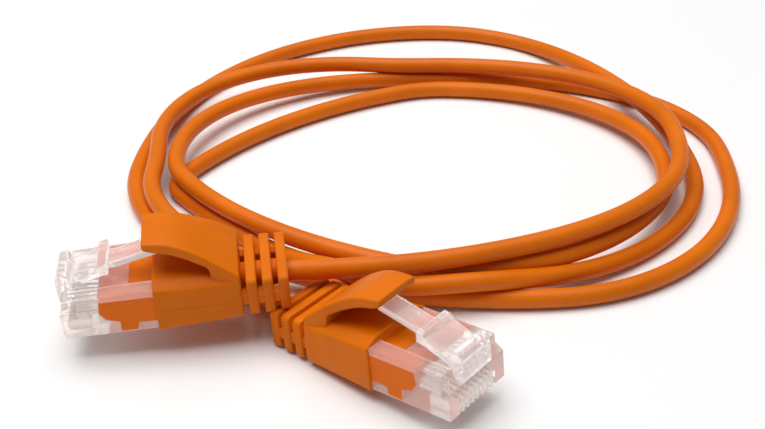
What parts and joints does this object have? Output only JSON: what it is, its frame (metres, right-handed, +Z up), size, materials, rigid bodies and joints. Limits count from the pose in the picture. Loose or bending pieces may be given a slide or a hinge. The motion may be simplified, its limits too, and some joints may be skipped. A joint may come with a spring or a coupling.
{
  "type": "ethernet patch cable",
  "caption": "Slim orange network patch cable, loosely coiled, with a clear modular plug at each end; each latch lies under a flexible boot hood that presses it.",
  "frame": {"origin": "on the surface the cable lies on, under the middle of the box round the two plugs", "axes": "+X along the longer way across the two plugs, from plug a to plug b; +Y toward the coil; +Z up"},
  "size_m": [0.1051, 0.1271, 0.0176],
  "materials": {
    "cable_jacket": "satin PVC",
    "boot_pvc": "satin soft PVC",
    "clear_polycarbonate": "clear polycarbonate",
    "gold_contact": "polished gold plate",
    "copper": "bright copper",
    "wire_white_orange": "satin insulation",
    "wire_orange": "satin insulation",
    "wire_white_green": "satin insulation",
    "wire_blue": "satin insulation",
    "wire_white_blue": "satin insulation",
    "wire_green": "satin insulation",
    "wire_white_brown": "satin insulation",
    "wire_brown": "satin insulation"
  },
  "bodies": {
    "cable_and_plugs": {"cable_tail_a": "cable_jacket", "cable_coil": "cable_jacket", "cable_tail_b": "cable_jacket", "plug_a_housing": "clear_polycarbonate", "plug_a_load_bar": "clear_polycarbonate", "plug_a_contact_1": "gold_contact", "plug_a_contact_2": "gold_contact", "plug_a_contact_3": "gold_contact", "plug_a_contact_4": "gold_contact", "plug_a_contact_5": "gold_contact", "plug_a_contact_6": "gold_contact", "plug_a_contact_7": "gold_contact", "plug_a_contact_8": "gold_contact", "plug_a_wire_1": "wire_white_orange", "plug_a_wire_2": "wire_orange", "plug_a_wire_3": "wire_white_green", "plug_a_wire_4": "wire_blue", "plug_a_wire_5": "wire_white_blue", "plug_a_wire_6": "wire_green", "plug_a_wire_7": "wire_white_brown", "plug_a_wire_8": "wire_brown", "plug_a_conductors": "copper", "plug_a_boot_core": "boot_pvc", "plug_a_boot": "boot_pvc", "plug_b_housing": "clear_polycarbonate", "plug_b_load_bar": "clear_polycarbonate", "plug_b_contact_1": "gold_contact", "plug_b_contact_2": "gold_contact", "plug_b_contact_3": "gold_contact", "plug_b_contact_4": "gold_contact", "plug_b_contact_5": "gold_contact", "plug_b_contact_6": "gold_contact", "plug_b_contact_7": "gold_contact", "plug_b_contact_8": "gold_contact", "plug_b_wire_1": "wire_white_orange", "plug_b_wire_2": "wire_orange", "plug_b_wire_3": "wire_white_green", "plug_b_wire_4": "wire_blue", "plug_b_wire_5": "wire_white_blue", "plug_b_wire_6": "wire_green", "plug_b_wire_7": "wire_white_brown", "plug_b_wire_8": "wire_brown", "plug_b_conductors": "copper", "plug_b_boot_core": "boot_pvc", "plug_b_boot": "boot_pvc"},
    "latch_a": {"plug_a_latch": "clear_polycarbonate"},
    "hood_a": {"plug_a_hood": "boot_pvc"},
    "latch_b": {"plug_b_latch": "clear_polycarbonate"},
    "hood_b": {"plug_b_hood": "boot_pvc"}
  },
  "joints": [
    {"name": "latch_a_press", "type": "hinge", "parent": "cable_and_plugs", "child": "latch_a", "pos_m": [-0.0271, 0.00579, 0.01043], "axis": [-0.1279, 0.9904, 0.0522], "range_deg": [0, 9], "stiffness_Nm_per_rad": 0.02},
    {"name": "hood_a_press", "type": "hinge", "parent": "cable_and_plugs", "child": "hood_a", "pos_m": [-0.00798, 0.00811, 0.01339], "axis": [0.1279, -0.9904, -0.0522], "range_deg": [0, 10.8], "stiffness_Nm_per_rad": 0.02},
    {"name": "latch_b_press", "type": "hinge", "parent": "cable_and_plugs", "child": "latch_b", "pos_m": [0.02484, -0.00992, 0.00945], "axis": [-0.6351, -0.7724, 0], "range_deg": [0, 9], "stiffness_Nm_per_rad": 0.02},
    {"name": "hood_b_press", "type": "hinge", "parent": "cable_and_plugs", "child": "hood_b", "pos_m": [0.0098, 0.00246, 0.00907], "axis": [0.6351, 0.7724, 0], "range_deg": [0, 10.8], "stiffness_Nm_per_rad": 0.02}
  ],
  "couplings": [
    {"joint": "hood_a_press", "follows": "latch_a_press", "ratio": 1.2},
    {"joint": "hood_b_press", "follows": "latch_b_press", "ratio": 1.2}
  ]
}
